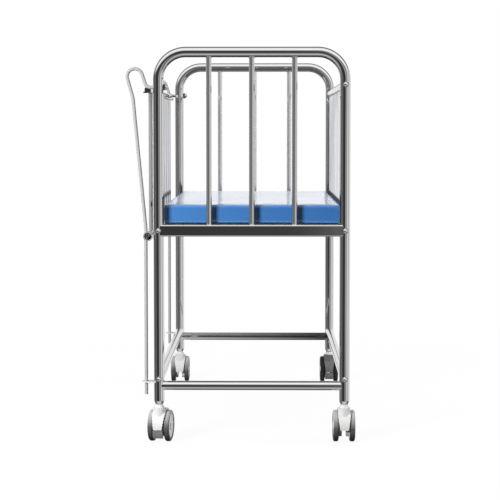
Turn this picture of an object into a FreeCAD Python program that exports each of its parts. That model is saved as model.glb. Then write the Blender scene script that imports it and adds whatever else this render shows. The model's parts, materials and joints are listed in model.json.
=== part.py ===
import FreeCAD, Part
import math
import os

from FreeCAD import Vector as V

# Hospital bassinet on four twin-wheel casters, in millimetres, +Z up.
# X runs across the bed, Y along it, and the end frames stand at minus and plus half the length.
# The drop side is at -X and the fixed guard at +X. "front" is the -Y end.

# ---------------------------------------------------------------- driving dimensions
frame_length = 812.0         # between the planes of the two end frames
leg_spacing = 440.0          # between the leg centres of one end frame

hoop_top = 939.0             # highest point of an end frame
hoop_d = 25.0                # hoop and leg tube
hoop_wall = 1.5
hoop_bend_r = 64.0           # at the tube's centreline
leg_bottom = 101.0           # where the leg tube ends above its ferrule

end_bar_d = 13.0
end_bar_pitch = 101.0
end_bar_count = 3

deck_top = 520.5             # top of the deck rails
deck_rail_h = 28.0
deck_rail_w = 24.0
deck_rail_corner = 4.0
deck_rail_wall = 1.5
cross_bar_w = 25.0
cross_bar_h = 16.0
cross_bar_corner = 2.5

panel_t = 1.2
panel_ledge = 5.0            # how far the panel lies on each rail
panel_post_gap = 1.5
panel_flange_h = 12.0
panel_flange_gap = 0.5
panel_flange_end = 30.0      # free length at each end of a flange
panel_slot_w = 14.0
panel_slot_l = 90.0
panel_slot_columns = 3
panel_slot_rows = 7
panel_slot_pitch_x = 120.0
panel_slot_pitch_y = 96.0

low_tube_d = 22.0
low_tube_wall = 1.5
cross_tube_z = 137.0
side_tube_z = 154.5

guard_rail_d = 19.0
guard_rail_drop = 89.0       # from the top of the hoops down to the guard rail
guard_rail_wall = 1.5
side_bar_d = 9.5
side_bar_count = 9

end_plug_l = 18.0            # solid plug in the end of each bolted tube
bolt_d = 6.0
bolt_hole_gap = 0.2
bolt_grip = 16.0             # thread length in the plug
acorn_af = 13.0              # across the flats of the hexagon
acorn_hex_h = 4.5
acorn_dome_r = 6.1
acorn_chamfer = 0.8
acorn_seat = 2.0             # how far the hexagon wraps the round post

ferrule_flange_h = 8.0
ferrule_low_r = 9.4          # the flange narrows to this under the tube
ferrule_corner = 1.5
ferrule_l = 34.0             # part that sits in the leg
stem_d = 11.0
stem_top_gap = 4.0

# Drop side.
gate_out = 25.0              # from the leg plane out to the gate plane
gate_top_drop = 100.0        # from the top of the hoops down to the gate rail
gate_top_d = 16.0
gate_top_wall = 1.2
gate_low_z = 493.0
gate_low_d = 22.0
gate_low_wall = 2.5
gate_low_overhang = 12.0     # bottom rail past the guide rod's centre
rod_out = 5.5                # from the gate plane out to the guide rods' straight part
rod_hole_gap = 0.5
gate_stop_gap = 0.5          # between the lowered gate and the tabs under it
fork_gap = 0.6
fork_t = 3.0
fork_cap_t = 2.5
fork_cap_edge = 1.8          # rounding round the cap's outer face
fork_rail_gap = 4.0          # from the guide rod's side to the end of the top rail
fork_prong_w = 4.4
fork_web = 5.5

# Guide rods.
rod_d = 8.0
rod_foot_z = 116.0
rod_straight_z = 512.0
rod_knee_out = 29.2          # from the straight part
rod_knee_drop = 119.0        # from the top of the hoops
rod_loop_r = 18.0
rod_loop_drop = 69.5
rod_loop_out = 24.6          # loop's centre, outside the straight part
rod_return_lean = 18.0       # degrees that the return leg leans in towards the post
rod_bend_r = 12.0
rod_end_drop = 95.0
rod_lower_bend_r = 120.0
rod_knee_bend_r = 60.0
tab_t = 3.0
tab_top_z = 148.0
tab_w = 20.0

# Mattress.
mattress_side_gap = 10.0     # in from the leg centres, on each side
mattress_end_gap = 15.0      # in from the end frames' planes
mattress_h = 46.0
mattress_gap = 0.3
mattress_corner = 7.0
mattress_edge = 5.0

# Casters.
wheel_d = 75.0
tread_w = 13.0
tread_corner = 4.5
caster_w = 52.0              # over both wheels
tyre_depth = 8.5
hub_recess = 1.5
hub_boss_r = 25.5
hub_boss_side = 5.5          # inner face of a hub, from the caster's middle
hub_cap_r = 10.0
axle_d = 8.0
axle_cover = 4.0             # hub wall over the axle's end
wheel_fit = 0.05             # radial running clearance
caster_trail = 18.0
hood_gap = 1.0               # between the hood and the wheels
hood_t = 4.0
hood_half_w = 15.0
hood_low_half_w = 10.0
hood_low_z = 34.0
hood_shoulder_z = 68.0
hood_top = 84.0
hood_core_half_w = 5.0
hood_socket_r = 14.5
hood_socket_low = 62.0
hood_axle_boss_r = 9.0
journal_d = 10.0
journal_l = 18.0
collar_low_r = 11.5
collar_top_r = 8.5
collar_top_z = 92.2
swivel_gap = 0.3
front_left_yaw = -8.0        # degrees about +Z, as the caster happens to stand
pedal_half_w = 12.0
pedal_low_z = 12.6
pedal_top_gap = 1.6
pedal_t = 4.0
pedal_side_gap = 0.3
pedal_eye_r = 9.0
pedal_arm_h = 10.0
pedal_pocket_r = 24.0
pedal_split_x = 1.5          # the hood's core is on one side of it, the pedal's arm on the other

# ---------------------------------------------------------------- places worked out from them
half_l = frame_length / 2
half_w = leg_spacing / 2
post_r = hoop_d / 2
hoop_z = hoop_top - post_r
guard_rail_z = hoop_top - guard_rail_drop
gate_top_z = hoop_top - gate_top_drop
rod_knee_z = hoop_top - rod_knee_drop
rod_loop_z = hoop_top - rod_loop_drop
rod_end_z = hoop_top - rod_end_drop
deck_rail_z = deck_top - deck_rail_h / 2
gate_x = -half_w - gate_out
rod_x = gate_x - rod_out
rod_r = rod_d / 2
side_bar_pitch = frame_length / (side_bar_count + 1)
gate_top_end = half_l - rod_r - fork_rail_gap
axle_z = wheel_d / 2
wheel_r = wheel_d / 2
hood_inner_r = wheel_r + hood_gap
hood_outer_r = hood_inner_r + hood_t
wheel_inner_x = caster_w / 2 - tread_w
axle_end = caster_w / 2 - hub_recess - axle_cover
panel_top = deck_top + panel_t
mattress_w = leg_spacing - 2 * mattress_side_gap
mattress_l = frame_length - 2 * mattress_end_gap
mattress_low = panel_top + mattress_gap
far = 2000.0                 # past everything

os.makedirs("parts", exist_ok=True)
nodes = {}


# ---------------------------------------------------------------- helpers
def rod(start, end, d):
    """A solid round bar from one point to another."""
    start, end = V(*start), V(*end)
    return Part.makeCylinder(d / 2, (end - start).Length, start, end - start)


def tube(start, end, d, wall, plug=0.0):
    """A round tube, with a solid plug of the given length in each end."""
    start, end = V(*start), V(*end)
    along = (end - start).normalize()
    inset = along * plug if plug else along * -1.0
    inner = rod(start + inset, end - inset, d - 2 * wall)
    return rod(start, end, d).cut(inner)


def block(low, high):
    """A box between two corners."""
    low, high = V(*low), V(*high)
    size = high - low
    return Part.makeBox(size.x, size.y, size.z, low)


def rounded_bar(low, high, axis, corner):
    """A box whose four edges along the axis ("x", "y" or "z") are rounded."""
    shape = block(low, high)
    edges = [e for e in shape.Edges if abs(getattr(e.tangentAt(e.FirstParameter), axis)) > 0.9]
    return shape.makeFillet(corner, edges)


def rounded_tube(low, high, axis, corner, wall, plug=0.0):
    """A rectangular tube along "x" or "y", with a solid plug in each end."""
    inset = {a: wall for a in "xyz"}
    inset[axis] = plug if plug else -1.0
    step = V(inset["x"], inset["y"], inset["z"])
    inner = rounded_bar(V(*low) + step, V(*high) - step, axis, corner - wall)
    return rounded_bar(low, high, axis, corner).cut(inner)


def sweep(path, d):
    """A round bar along a wire of lines and tangent arcs that starts straight up."""
    ring = Part.Wire(Part.makeCircle(d / 2, path.OrderedVertexes[0].Point, V(0, 0, 1)))
    return path.makePipeShell([ring], True, False)


def bent_path(points, radii):
    """A wire through the points, with an arc of the given radius at each inner one."""
    points = [V(*p) for p in points]
    edges, here = [], points[0]
    for before, corner, after, r in zip(points, points[1:], points[2:], radii):
        come = (corner - before).normalize()
        go = (after - corner).normalize()
        half_turn = math.acos(max(-1.0, min(1.0, come.dot(go)))) / 2
        tangent = r * math.tan(half_turn)
        start, end = corner - come * tangent, corner + go * tangent
        middle = corner + (go - come).normalize() * (r / math.cos(half_turn) - r)
        if (start - here).Length > 0.001:
            edges.append(Part.makeLine(here, start))
        edges.append(Part.Arc(start, middle, end).toShape())
        here = end
    edges.append(Part.makeLine(here, points[-1]))
    return Part.Wire(edges)


def group(shapes):
    return Part.makeCompound(shapes)


def mirrored_y(shape):
    return shape.mirror(V(0, 0, 0), V(0, 1, 0))


def spaced(count, pitch):
    """Places of a centred row."""
    return [(i - (count - 1) / 2) * pitch for i in range(count)]


def add(name, shape):
    nodes[name] = shape


# ---------------------------------------------------------------- end frames
def hoop_path(foot):
    """The centreline of the front end frame, from the foot of one leg to the foot of the other."""
    places = [(-half_w, foot), (-half_w, hoop_z), (half_w, hoop_z), (half_w, foot)]
    return bent_path([(x, -half_l, z) for x, z in places], [hoop_bend_r] * 2)


def acorn(face, direction):
    """A hexagon head with a dome, standing on the face point and looking along the direction."""
    face, direction = V(*face), V(*direction)
    upright = V(0, 0, 1)
    across = direction.cross(upright)
    corner_r = acorn_af / math.sqrt(3)
    seat = face - direction * acorn_seat
    corners = []
    for i in range(7):
        turn = math.radians(60 * i)
        corners.append(seat + upright * (corner_r * math.cos(turn)) + across * (corner_r * math.sin(turn)))
    hexagon = Part.Face(Part.makePolygon(corners)).extrude(direction * (acorn_hex_h + acorn_seat))
    chamfer = Part.makeCone(corner_r + acorn_hex_h, corner_r - acorn_chamfer,
                            acorn_hex_h + acorn_chamfer, face, direction)
    chamfer = chamfer.fuse(Part.makeCylinder(corner_r + acorn_hex_h, acorn_seat, seat, direction))
    dome = Part.makeSphere(acorn_dome_r, face + direction * acorn_hex_h)
    dome = dome.common(Part.makeCylinder(acorn_af, acorn_af + acorn_hex_h, face, direction))
    return hexagon.common(chamfer).fuse(dome).removeSplitter()


hoop_outer = sweep(hoop_path(leg_bottom), hoop_d)
hoop_bore = sweep(hoop_path(leg_bottom - 1.0), hoop_d - 2 * hoop_wall)
posts = group([hoop_outer, mirrored_y(hoop_outer)])

bolt_reach = hoop_d + bolt_grip
deck_bolt_places = [(x, deck_rail_z) for x in (-half_w, half_w)]
low_bolt_places = [(x, side_tube_z) for x in (-half_w, half_w)]
guard_bolt_places = [(half_w, guard_rail_z)]
bolt_places = deck_bolt_places + low_bolt_places + guard_bolt_places

hoop = hoop_outer.cut(hoop_bore)
for x, z in bolt_places:
    hoop = hoop.cut(rod((x, -half_l - hoop_d, z), (x, -half_l + hoop_d, z), bolt_d + 2 * bolt_hole_gap))
hoop = hoop.cut(rod((-half_w - hoop_d, -half_l, rod_end_z), (-half_w + hoop_d, -half_l, rod_end_z),
                    bolt_d + 2 * bolt_hole_gap))
end_bars = group([
    rod((x, -half_l, deck_top), (x, -half_l, hoop_z), end_bar_d).cut(hoop_outer)
    for x in spaced(end_bar_count, end_bar_pitch)
])
deck_end_rail = rounded_tube(
    (-half_w, -half_l - deck_rail_w / 2, deck_top - deck_rail_h),
    (half_w, -half_l + deck_rail_w / 2, deck_top), "x", deck_rail_corner, deck_rail_wall,
).cut(hoop_outer)
for x, z in deck_bolt_places:
    deck_end_rail = deck_end_rail.cut(acorn((x, -half_l - post_r, z), (0, -1, 0)))
cross_tube = tube((-half_w, -half_l, cross_tube_z), (half_w, -half_l, cross_tube_z),
                  low_tube_d, low_tube_wall).cut(hoop_outer)

for name, shape in (("hoop", hoop), ("end_bars", end_bars), ("deck_end_rail", deck_end_rail),
                    ("lower_cross_tube", cross_tube)):
    add(name + "_front", shape)
    add(name + "_rear", mirrored_y(shape))


# ---------------------------------------------------------------- long members
def bolt_bores(x, z):
    """The threaded bores in both ends of a long member."""
    end = half_l - post_r + 2.0
    depth = end - bolt_grip - 2.0
    return group([
        rod((x, -end, z), (x, -depth, z), bolt_d),
        rod((x, depth, z), (x, end, z), bolt_d),
    ])


def bolts(places):
    """An acorn bolt through each post, at both ends of the bed."""
    shapes = []
    for x, z in places:
        face = V(x, -half_l - post_r, z)
        shank = Part.makeCylinder(bolt_d / 2, bolt_reach, face, V(0, 1, 0))
        bolt = acorn(face, (0, -1, 0)).cut(hoop_outer).fuse(shank)
        shapes += [bolt, mirrored_y(bolt)]
    return group(shapes)


rail_end = half_l - deck_rail_w / 2
for side, x in (("left", -half_w), ("right", half_w)):
    rail = rounded_tube(
        (x - deck_rail_w / 2, -rail_end, deck_top - deck_rail_h),
        (x + deck_rail_w / 2, rail_end, deck_top), "y", deck_rail_corner, deck_rail_wall, end_plug_l,
    )
    add("deck_side_rail_" + side, rail.cut(posts).cut(bolt_bores(x, deck_rail_z)))
    low = tube((x, -half_l, side_tube_z), (x, half_l, side_tube_z), low_tube_d, low_tube_wall,
               post_r + end_plug_l)
    add("lower_side_tube_" + side, low.cut(posts).cut(bolt_bores(x, side_tube_z)))

cross_bar_x = half_w - deck_rail_w / 2
add("deck_cross_bar", rounded_tube(
    (-cross_bar_x, -cross_bar_w / 2, deck_top - cross_bar_h),
    (cross_bar_x, cross_bar_w / 2, deck_top), "x", cross_bar_corner, deck_rail_wall,
))

guard_rail = tube((half_w, -half_l, guard_rail_z), (half_w, half_l, guard_rail_z), guard_rail_d,
                  guard_rail_wall, post_r + end_plug_l)
add("guard_top_rail", guard_rail.cut(posts).cut(bolt_bores(half_w, guard_rail_z)))
guard_outer = rod((half_w, -half_l, guard_rail_z), (half_w, half_l, guard_rail_z), guard_rail_d)
add("guard_bars", group([
    rod((half_w, y, deck_top), (half_w, y, guard_rail_z), side_bar_d).cut(guard_outer)
    for y in spaced(side_bar_count, side_bar_pitch)
]))

add("deck_bolts", bolts(deck_bolt_places))
add("lower_bolts", bolts(low_bolt_places))
add("guard_bolts", bolts(guard_bolt_places))


# ---------------------------------------------------------------- deck panel
def deck_panel():
    """A sheet that lies on the rails, with turned-down flanges inside them and long slots."""
    x, y = cross_bar_x + panel_ledge, rail_end + panel_ledge
    sheet = block((-x, -y, deck_top), (x, y, panel_top))
    for post_x in (-half_w, half_w):
        for post_y in (-half_l, half_l):
            gap = hoop_d + 2 * panel_post_gap
            sheet = sheet.cut(rod((post_x, post_y, deck_top - 1), (post_x, post_y, panel_top + 1), gap))
    for slot_x in spaced(panel_slot_columns, panel_slot_pitch_x):
        for slot_y in spaced(panel_slot_rows, panel_slot_pitch_y):
            if abs(slot_y) < cross_bar_w / 2 + panel_slot_w / 2:
                continue
            reach = (panel_slot_l - panel_slot_w) / 2
            slot = rounded_bar((slot_x - reach - panel_slot_w / 2, slot_y - panel_slot_w / 2, deck_top - 1),
                               (slot_x + reach + panel_slot_w / 2, slot_y + panel_slot_w / 2, panel_top + 1),
                               "z", panel_slot_w / 2 - 0.01)
            sheet = sheet.cut(slot)
    inner_x, inner_y = cross_bar_x - panel_flange_gap, rail_end - panel_flange_gap
    low = deck_top - panel_flange_h
    for s in (-1, 1):
        side = sorted((s * (inner_x - panel_t), s * inner_x))
        for t in (-1, 1):
            run = sorted((t * cross_bar_w, t * (inner_y - panel_flange_end)))
            sheet = sheet.fuse(block((side[0], run[0], low), (side[1], run[1], deck_top)))
        end = sorted((s * (inner_y - panel_t), s * inner_y))
        sheet = sheet.fuse(block((-inner_x + panel_flange_end, end[0], low),
                                 (inner_x - panel_flange_end, end[1], deck_top)))
    return sheet.removeSplitter()


add("deck_panel", deck_panel())


# ---------------------------------------------------------------- drop side
def gate_fork():
    """A capped end for the top rail, with a fork under it that is open away from the bed."""
    end = -gate_top_end
    low = gate_top_z - gate_top_d / 2 - 0.5
    r = gate_top_d / 2
    cap = Part.makeCylinder(r, fork_cap_t, V(gate_x, end - fork_cap_t, gate_top_z), V(0, 1, 0))
    cap = cap.fuse(block((gate_x - r, end - fork_cap_t, low), (gate_x + r, end, gate_top_z)))
    cap = cap.removeSplitter()
    rim = [e for e in cap.Edges if e.BoundBox.YMax < end - fork_cap_t + 0.01 and e.BoundBox.ZMax > low + 1]
    cap = cap.makeFillet(fork_cap_edge, rim)
    slot_half = rod_r + fork_gap
    web_x = rod_x + slot_half
    tongue = block((rod_x - rod_r, -half_l - slot_half - fork_prong_w, low),
                   (web_x + fork_web, end, low + fork_t))
    slot = block((rod_x - rod_r - 1, -half_l - slot_half, low - 1),
                 (web_x, -half_l + slot_half, low + fork_t + 1))
    return cap.fuse(tongue).cut(slot).removeSplitter()


gate_low_end = half_l + gate_low_overhang
gate_low = tube((gate_x, -gate_low_end, gate_low_z), (gate_x, gate_low_end, gate_low_z),
                gate_low_d, gate_low_wall)
for y in (-half_l, half_l):
    gate_low = gate_low.cut(rod((rod_x, y, gate_low_z - gate_low_d), (rod_x, y, gate_low_z + gate_low_d),
                                rod_d + 2 * rod_hole_gap))
add("gate_bottom_rail", gate_low)
add("gate_top_rail", tube((gate_x, -gate_top_end, gate_top_z), (gate_x, gate_top_end, gate_top_z),
                          gate_top_d, gate_top_wall))
gate_rails = group([
    rod((gate_x, -gate_low_end, gate_low_z), (gate_x, gate_low_end, gate_low_z), gate_low_d),
    rod((gate_x, -gate_top_end, gate_top_z), (gate_x, gate_top_end, gate_top_z), gate_top_d),
])
add("gate_bars", group([
    rod((gate_x, y, gate_low_z), (gate_x, y, gate_top_z), side_bar_d).cut(gate_rails)
    for y in spaced(side_bar_count, side_bar_pitch)
]))
fork = gate_fork()
add("gate_forks", group([fork, mirrored_y(fork)]))


# ---------------------------------------------------------------- guide rods
def guide_rod():
    """A bent rod: straight foot, slanted upper leg, loop, and an end bolted through the post."""
    knee = V(rod_x - rod_knee_out, 0, rod_knee_z)
    centre = V(rod_x - rod_loop_out, 0, rod_loop_z)
    to_knee = knee - centre
    touch = math.atan2(to_knee.z, to_knee.x) % (2 * math.pi) - math.acos(rod_loop_r / to_knee.Length)
    lean = math.radians(rod_return_lean)
    sweep_part = (touch - lean) / 4
    corner_reach = rod_loop_r / math.cos(sweep_part)
    loop = [centre + V(math.cos(turn), 0, math.sin(turn)) * corner_reach
            for turn in (lean + sweep_part * 3, lean + sweep_part)]
    leave = centre + V(math.cos(lean), 0, math.sin(lean)) * rod_loop_r
    return_x = leave.x + (leave.z - rod_end_z) * math.tan(lean)
    places = [V(rod_x, 0, rod_foot_z), V(rod_x, 0, rod_straight_z), knee, *loop,
              V(return_x, 0, rod_end_z), V(-half_w, 0, rod_end_z)]
    radii = [rod_lower_bend_r, rod_knee_bend_r, rod_loop_r, rod_loop_r, rod_bend_r]
    path = bent_path([(p.x, -half_l, p.z) for p in places], radii)
    thread = rod((-half_w - post_r - bolt_d, -half_l, rod_end_z),
                 (-half_w + post_r + acorn_hex_h, -half_l, rod_end_z), bolt_d)
    return sweep(path, rod_d).cut(hoop_outer).fuse(thread).removeSplitter()


def rod_tab():
    """The plate on a leg that holds the foot of a guide rod."""
    low = tab_top_z - tab_t
    plate = block((rod_x, -half_l - tab_w / 2, low), (-half_w, -half_l + tab_w / 2, tab_top_z))
    nose = Part.makeCylinder(tab_w / 2, tab_t, V(rod_x, -half_l, low))
    hole = rod((rod_x, -half_l, low - 1), (rod_x, -half_l, tab_top_z + 1), rod_d)
    side_tube = rod((-half_w, -half_l, side_tube_z), (-half_w, half_l, side_tube_z), low_tube_d)
    return plate.fuse(nose).cut(hole).cut(hoop_outer).cut(side_tube).removeSplitter()


rod_nut = acorn((-half_w + post_r, -half_l, rod_end_z), (1, 0, 0)).cut(hoop_outer).cut(
    rod((-half_w, -half_l, rod_end_z), (-half_w + post_r + acorn_hex_h, -half_l, rod_end_z), bolt_d))
add("guide_rod_front", guide_rod())
add("guide_rod_rear", mirrored_y(guide_rod()))
for name, shape in (("rod_tabs", rod_tab()), ("rod_nuts", rod_nut)):
    add(name, group([shape, mirrored_y(shape)]))


# ---------------------------------------------------------------- mattress
def mattress():
    shape = block((-mattress_w / 2, -mattress_l / 2, mattress_low),
                  (mattress_w / 2, mattress_l / 2, mattress_low + mattress_h))
    upright = [e for e in shape.Edges if abs(e.tangentAt(e.FirstParameter).z) > 0.9]
    shape = shape.makeFillet(mattress_corner, upright)
    flat = [e for e in shape.Edges if e.BoundBox.ZLength < 0.01]
    return shape.makeFillet(mattress_edge, flat)


add("mattress", mattress())


# ---------------------------------------------------------------- leg ferrules and caster stems
def leg_ferrule():
    """A bush in the foot of a leg, with a flange under the tube that narrows downwards."""
    low = leg_bottom - ferrule_flange_h
    flange = Part.makeCone(ferrule_low_r, post_r, ferrule_flange_h, V(0, 0, low))
    rim = [e for e in flange.Edges if e.BoundBox.ZMax < low + 0.01 and len(e.Vertexes) == 1]
    flange = flange.makeFillet(ferrule_corner, rim)
    bush = Part.makeCylinder(post_r - hoop_wall, ferrule_l, V(0, 0, leg_bottom))
    return flange.fuse(bush).cut(rod((0, 0, low - 1), (0, 0, leg_bottom + ferrule_l - stem_top_gap), stem_d))


def caster_stem():
    """The stem in the ferrule, its cone-shaped collar, and the journal that the hood turns on."""
    low = hood_top + swivel_gap
    collar = Part.makeCone(collar_low_r, collar_top_r, collar_top_z - low, V(0, 0, low))
    upper = rod((0, 0, collar_top_z), (0, 0, leg_bottom + ferrule_l - stem_top_gap), stem_d)
    journal = rod((0, 0, hood_top - journal_l), (0, 0, low), journal_d)
    return collar.fuse(upper).fuse(journal).removeSplitter()


legs = {
    "front_left": (-half_w, -half_l, front_left_yaw, True),
    "front_right": (half_w, -half_l, 0.0, False),
    "rear_left": (-half_w, half_l, 0.0, False),
    "rear_right": (half_w, half_l, 0.0, True),
}


def at_leg(shape, leg):
    """A copy of a shape, turned and moved from the origin to under a leg."""
    x, y, yaw, _ = legs[leg]
    shape = shape.copy()
    shape.rotate(V(0, 0, 0), V(0, 0, 1), yaw)
    shape.translate(V(x, y, 0))
    return shape


add("leg_ferrules", group([at_leg(leg_ferrule(), leg) for leg in legs]))
add("caster_stems", group([at_leg(caster_stem(), leg) for leg in legs]))


# ---------------------------------------------------------------- casters
# Each is made with its stem on the Z axis and its wheels trailing towards +Y.
def across(r, low_x, high_x):
    """A disc about the axle, between two places along X."""
    return Part.makeCylinder(r, high_x - low_x, V(low_x, caster_trail, axle_z), V(1, 0, 0))


def caster_hood(braked):
    """The body between and over the two wheels."""
    core, inner, outer = hood_low_half_w, wheel_inner_x - hood_gap / 2, hood_half_w
    low, shoulder, high = hood_low_z, hood_shoulder_z, hood_top + 1
    outline = Part.makePolygon([V(x, -far, z) for x, z in (
        (-core, low), (core, low), (outer, shoulder), (outer, high),
        (-outer, high), (-outer, shoulder), (-core, low))])
    wedge = Part.Face(outline).extrude(V(0, 2 * far, 0))
    hood = across(hood_outer_r, -outer, outer).common(wedge)
    socket = Part.makeCylinder(hood_socket_r, hood_top - hood_socket_low, V(0, 0, hood_socket_low))
    hood = hood.fuse(socket)
    hood = hood.common(Part.makeBox(2 * outer, 4 * hood_outer_r, hood_top,
                                    V(-outer, -3 * hood_outer_r, 0)))
    for s in (-1, 1):
        for r, x in ((hood_inner_r, inner), (hub_boss_r + hood_gap, hood_core_half_w)):
            hood = hood.cut(across(r, *sorted((s * x, s * (caster_w / 2 + 1)))))
    hood = hood.fuse(across(hood_axle_boss_r, -hood_core_half_w, hood_core_half_w))
    if braked:
        hood = hood.cut(across(pedal_pocket_r, pedal_split_x, hood_core_half_w + hood_gap))
    bore = Part.makeCylinder(journal_d / 2 + wheel_fit, journal_l + 1.0, V(0, 0, hood_top - journal_l - 0.5))
    return hood.cut(across(axle_d / 2, -hood_outer_r, hood_outer_r)).cut(bore).removeSplitter()


def caster_tyre(s):
    ring = across(wheel_r, *sorted((s * wheel_inner_x, s * caster_w / 2)))
    corners = [e for e in ring.Edges if len(e.Vertexes) == 1]
    ring = ring.makeFillet(tread_corner, corners)
    return ring.cut(across(wheel_r - tyre_depth, -caster_w, caster_w))


def caster_hub(s):
    """The disc inside a tyre, with an inner boss, an outer cap and a blind bore for the axle."""
    face = caster_w / 2 - hub_recess
    hub = across(wheel_r - tyre_depth, *sorted((s * wheel_inner_x, s * face)))
    hub = hub.fuse(across(hub_boss_r, *sorted((s * hub_boss_side, s * wheel_inner_x))))
    hub = hub.fuse(across(hub_cap_r, *sorted((s * (face - 1), s * caster_w / 2))))
    return hub.cut(across(axle_d / 2 + wheel_fit, *sorted((0, s * (axle_end + wheel_fit))))).removeSplitter()


def brake_pedal():
    """The lever that turns about the axle: an eye, an arm and a curved shoe below the hood."""
    top = hood_low_z - pedal_top_gap
    shoe_inner, shoe_outer = hood_inner_r, hood_inner_r + pedal_t
    shoe = across(shoe_outer, -pedal_half_w, pedal_half_w).cut(across(shoe_inner, -far, far))
    shoe = shoe.common(block((-far, -far, pedal_low_z), (far, caster_trail, top)))
    low_x, high_x = pedal_split_x + pedal_side_gap, hood_core_half_w
    middle_z = (pedal_low_z + top) / 2 - axle_z
    reach = math.sqrt(shoe_inner ** 2 - middle_z ** 2) + pedal_t / 2
    droop = math.degrees(math.atan2(-middle_z, reach))
    arm = block((low_x, caster_trail - math.hypot(reach, middle_z), axle_z - pedal_arm_h / 2),
                (high_x, caster_trail, axle_z + pedal_arm_h / 2))
    arm.rotate(V(0, caster_trail, axle_z), V(1, 0, 0), droop)
    pedal = shoe.fuse(arm).fuse(across(pedal_eye_r, low_x, high_x))
    return pedal.cut(across(axle_d / 2 + wheel_fit, -far, far)).removeSplitter()


for leg, (_, _, _, braked) in legs.items():
    name = "caster_" + leg
    add(name + "_hood", at_leg(caster_hood(braked), leg))
    add(name + "_axle", at_leg(across(axle_d / 2, -axle_end, axle_end), leg))
    for side, s in (("left", -1), ("right", 1)):
        add(f"{name}_tyre_{side}", at_leg(caster_tyre(s), leg))
        add(f"{name}_hub_{side}", at_leg(caster_hub(s), leg))
    if braked:
        add(name + "_pedal", at_leg(brake_pedal(), leg))


# ---------------------------------------------------------------- the part's own frame
# The origin is under the middle of the whole part, on the floor.
box = FreeCAD.BoundBox()
for shape in nodes.values():
    box.add(shape.optimalBoundingBox(False, False))
shift = V(-box.Center.x, -box.Center.y, -box.ZMin)
for name, shape in nodes.items():
    solids = shape.Solids
    shape = solids[0] if len(solids) == 1 else group(solids)
    shape = shape.copy()
    shape.translate(shift)
    shape.exportStep(f"parts/{name}.step")
    print(f"{name:32s} solids {len(solids)} valid {shape.isValid()} volume {shape.Volume / 1000:.2f} cm3")
gate_travel = gate_low_z - gate_low_d / 2 - gate_stop_gap - tab_top_z
print(len(nodes), "nodes, origin shifted by", [round(c, 3) for c in shift], "size", round(box.XLength, 2),
      round(box.YLength, 2), round(box.ZLength, 2), "gate travel", gate_travel)
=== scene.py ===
# %% Load the frame
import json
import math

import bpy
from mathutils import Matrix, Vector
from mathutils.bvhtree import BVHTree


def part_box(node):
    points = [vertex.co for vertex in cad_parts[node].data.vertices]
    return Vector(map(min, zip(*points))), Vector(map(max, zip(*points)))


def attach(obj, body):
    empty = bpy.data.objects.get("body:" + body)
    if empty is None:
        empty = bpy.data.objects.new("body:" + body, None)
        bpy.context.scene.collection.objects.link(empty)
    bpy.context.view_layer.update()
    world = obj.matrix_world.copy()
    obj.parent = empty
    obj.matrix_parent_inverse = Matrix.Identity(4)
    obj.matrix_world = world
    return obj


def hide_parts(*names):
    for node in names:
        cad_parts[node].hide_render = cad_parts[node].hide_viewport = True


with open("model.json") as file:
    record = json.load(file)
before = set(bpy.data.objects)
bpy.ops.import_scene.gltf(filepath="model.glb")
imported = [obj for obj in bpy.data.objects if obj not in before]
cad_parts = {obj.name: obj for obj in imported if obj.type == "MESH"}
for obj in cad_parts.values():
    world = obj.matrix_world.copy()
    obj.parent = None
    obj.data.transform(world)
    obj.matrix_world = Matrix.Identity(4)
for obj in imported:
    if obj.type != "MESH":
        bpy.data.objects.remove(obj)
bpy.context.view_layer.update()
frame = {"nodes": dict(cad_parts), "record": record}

# %% [markdown]
# A hospital bassinet is a welded and bolted cot of polished stainless tube. Two hoops stand at its
# ends, barred sides run between them, a blue padded mattress lies on a perforated deck, and the
# whole thing rolls on four small twin-wheel casters. Everything hard already comes with the frame,
# at its true size, so what is left to make here is the camera, the light, the finishes, the padded
# mattress with its welded seams, and the weld beads round the bars.

nodes = frame["nodes"]
slot_of = {row["node"]: row["material_slot"] for row in frame["record"]["subparts"]}


def deselect():
    """Leaves nothing selected, so that the next operator acts on its own piece alone."""
    if bpy.context.object and bpy.context.object.mode != "OBJECT":
        bpy.ops.object.mode_set(mode="OBJECT")
    bpy.ops.object.select_all(action="DESELECT")


def make_active(piece):
    deselect()
    piece.select_set(True)
    bpy.context.view_layer.objects.active = piece


def at_origin(piece):
    """Puts the piece's place into its mesh, as the frame's own nodes have it."""
    make_active(piece)
    bpy.ops.object.transform_apply(location=True, rotation=True, scale=True)


# %% [markdown]
# The camera stands level with the upper bars and looks down at the deck a little, square on to one
# end of the cot, from far enough away that the two ends differ only slightly in size. A long lens
# gives that calm, almost flat view. It is placed so that the near frame is as large in the picture
# as it should be and the far frame sits inside it.

# %% Camera
CAMERA_FROM_BED = Vector((0.0341, -3.7465, 0.7405))
CAMERA_DOWN = math.radians(3.178)
CAMERA_LEFT = math.radians(0.654)
LENS_MM = 101.99
LENS_SHIFT = -0.08         # the frame in the lens slides down a little, so uprights stay upright

hoops = [corner for end in ("front", "rear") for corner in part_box("hoop_" + end)]
bed_middle = sum(hoops, Vector()) / len(hoops)
bed_middle.z = 0
camera_place = bed_middle + CAMERA_FROM_BED
bpy.ops.object.camera_add(location=camera_place,
                          rotation=(math.pi / 2 - CAMERA_DOWN, 0, CAMERA_LEFT))
camera = bpy.context.object
camera.name = "product_camera"
camera.data.lens = LENS_MM
camera.data.shift_y = LENS_SHIFT
camera.data.sensor_width = 36
bpy.context.scene.camera = camera
bpy.context.scene.view_settings.view_transform = "Standard"
print("camera at", [round(v, 4) for v in camera_place], "lens", LENS_MM)

# %% [markdown]
# The floor is one very large pale sheet. Near the cot it keeps the soft shadow of the casters, and
# for the camera it is mixed with a plain white glow that takes over altogether further out, so that
# the picture has the clean white ground of a catalogue page and no horizon.

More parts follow.
